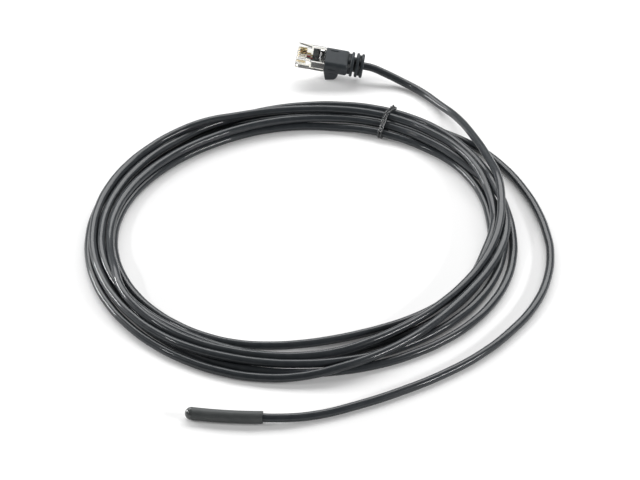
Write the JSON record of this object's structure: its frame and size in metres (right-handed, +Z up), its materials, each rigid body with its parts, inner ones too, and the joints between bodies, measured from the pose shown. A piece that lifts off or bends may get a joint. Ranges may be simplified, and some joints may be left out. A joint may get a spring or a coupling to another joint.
{
  "type": "rack temperature sensor",
  "caption": "Plug-in temperature probe: a slim rubber-sleeved tip on a long thin cable, coiled and tied, ending in a clear modular plug with a ribbed boot.",
  "frame": {"origin": "on the surface the sensor lies on, below the middle of the probe's length", "axes": "+X along the probe from its rounded tip towards its cable, +Z up from the surface; the coil and the plug lie on the +Y side"},
  "size_m": [0.2253, 0.287, 0.0181],
  "materials": {
    "cable_jacket": "smooth extruded vinyl with long highlights",
    "sleeve_rubber": "matte",
    "tip_resin": "glossy",
    "boot_vinyl": "satin moulded vinyl",
    "clear_plastic": "clear moulded polycarbonate",
    "gold_plate": "gold-plated blades",
    "tinned_copper": "tinned wire",
    "bead_glass": "glass-coated bead",
    "joint_tube": "shrunk tube",
    "core_red": "smooth core insulation",
    "core_black": "smooth core insulation",
    "core_white": "smooth core insulation",
    "core_yellow": "smooth core insulation",
    "tie_cover": "covered wire"
  },
  "bodies": {
    "root": {"probe_sleeve": "sleeve_rubber", "probe_tip": "tip_resin", "thermistor_bead": "bead_glass", "thermistor_leg_1": "tinned_copper", "thermistor_leg_2": "tinned_copper", "joint_sleeve_1": "joint_tube", "joint_sleeve_2": "joint_tube", "probe_core_1": "core_red", "probe_core_2": "core_black", "probe_jacket_end": "cable_jacket", "probe_lead": "cable_jacket", "cable_coil": "cable_jacket", "plug_lead": "cable_jacket", "plug_housing": "clear_plastic", "contact_1": "gold_plate", "contact_2": "gold_plate", "contact_3": "gold_plate", "contact_4": "gold_plate", "contact_5": "gold_plate", "contact_6": "gold_plate", "contact_7": "gold_plate", "contact_8": "gold_plate", "plug_core_1": "core_black", "plug_core_2": "core_red", "plug_core_3": "core_white", "plug_core_4": "core_yellow", "plug_jacket_end": "cable_jacket", "boot": "boot_vinyl", "twist_tie": "tie_cover"}
  },
  "joints": []
}
